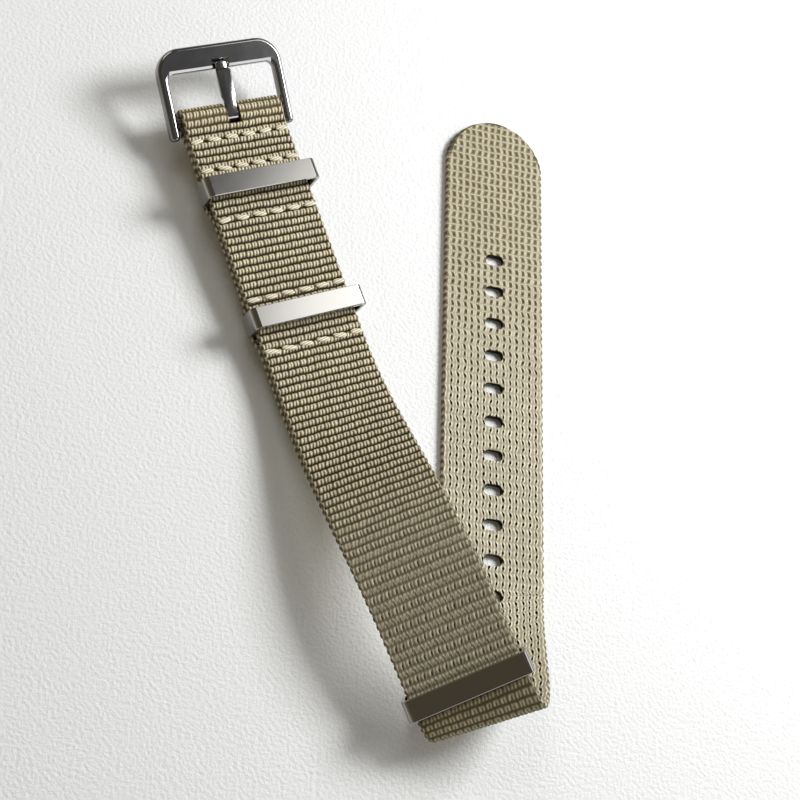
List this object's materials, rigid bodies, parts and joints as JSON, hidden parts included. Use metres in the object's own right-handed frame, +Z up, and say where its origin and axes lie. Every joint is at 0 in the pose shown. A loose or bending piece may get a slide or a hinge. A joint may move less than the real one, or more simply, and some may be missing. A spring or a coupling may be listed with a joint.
{
  "type": "watch strap",
  "caption": "Ribbed nylon watch strap lying folded, with a pin buckle on a spring bar, flat steel keeper rings held by a sewn keeper strap, and a punched, rounded tail.",
  "frame": {"origin": "middle of the bounding box, at the table", "axes": "+Y along the tail towards its rounded tip, +Z up from the table, +X to the tail's right as the picture shows it"},
  "size_m": [0.0784, 0.1244, 0.02],
  "materials": {
    "webbing": "ribbed nylon weave, matt",
    "thread": "twisted thread",
    "dark_steel": "fine brushed with polished edges",
    "ring_steel": "fine brushed",
    "bar_steel": "plain bright"
  },
  "bodies": {
    "strap": {"main_strap": "webbing", "keeper_strap": "webbing", "stitch_row_1": "thread", "stitch_row_2": "thread", "stitch_row_3": "thread", "stitch_row_4": "thread", "stitch_row_5": "thread", "stitch_row_keeper": "thread"},
    "buckle": {"buckle_frame": "dark_steel", "spring_bar_tube": "bar_steel", "spring_bar_spring": "bar_steel"},
    "tang": {"buckle_tang": "dark_steel"},
    "plunger_left": {"spring_bar_plunger_left": "bar_steel"},
    "plunger_right": {"spring_bar_plunger_right": "bar_steel"},
    "ring_1": {"keeper_ring_1": "ring_steel"},
    "ring_2": {"keeper_ring_2": "ring_steel"},
    "ring_3": {"keeper_ring_3": "ring_steel"}
  },
  "joints": [
    {"name": "buckle_hinge", "type": "hinge", "parent": "strap", "child": "buckle", "pos_m": [-0.02455, 0.04733, 0.00545], "axis": [0.9102, 0.4104, -0.0557], "range_deg": [-90, 30]},
    {"name": "tang_hinge", "type": "hinge", "parent": "buckle", "child": "tang", "pos_m": [-0.02455, 0.04733, 0.00545], "axis": [0.9102, 0.4104, -0.0557], "range_deg": [0, 50]},
    {"name": "plunger_left_slide", "type": "slide", "parent": "buckle", "child": "plunger_left", "axis": [0.9102, 0.4104, -0.0557], "range_m": [0, 0.0013], "stiffness_N_per_m": 600, "deforming": ["spring_bar_spring"]},
    {"name": "plunger_right_slide", "type": "slide", "parent": "buckle", "child": "plunger_right", "axis": [-0.9102, -0.4104, 0.0557], "range_m": [0, 0.0013], "stiffness_N_per_m": 600, "deforming": ["spring_bar_spring"]},
    {"name": "ring_1_tilt", "type": "hinge", "parent": "strap", "child": "ring_1", "pos_m": [-0.01877, 0.03431, 0.004], "axis": [0.9102, 0.4104, -0.0557], "range_deg": [-8, 8]},
    {"name": "ring_2_tilt", "type": "hinge", "parent": "strap", "child": "ring_2", "pos_m": [-0.00862, 0.01161, 0.0027], "axis": [0.9102, 0.4104, -0.0557], "range_deg": [-8, 8]},
    {"name": "ring_3_tilt", "type": "hinge", "parent": "strap", "child": "ring_3", "pos_m": [0.02117, -0.05228, 0.01006], "axis": [0.7996, 0.3834, 0.4623], "range_deg": [-8, 8]}
  ]
}
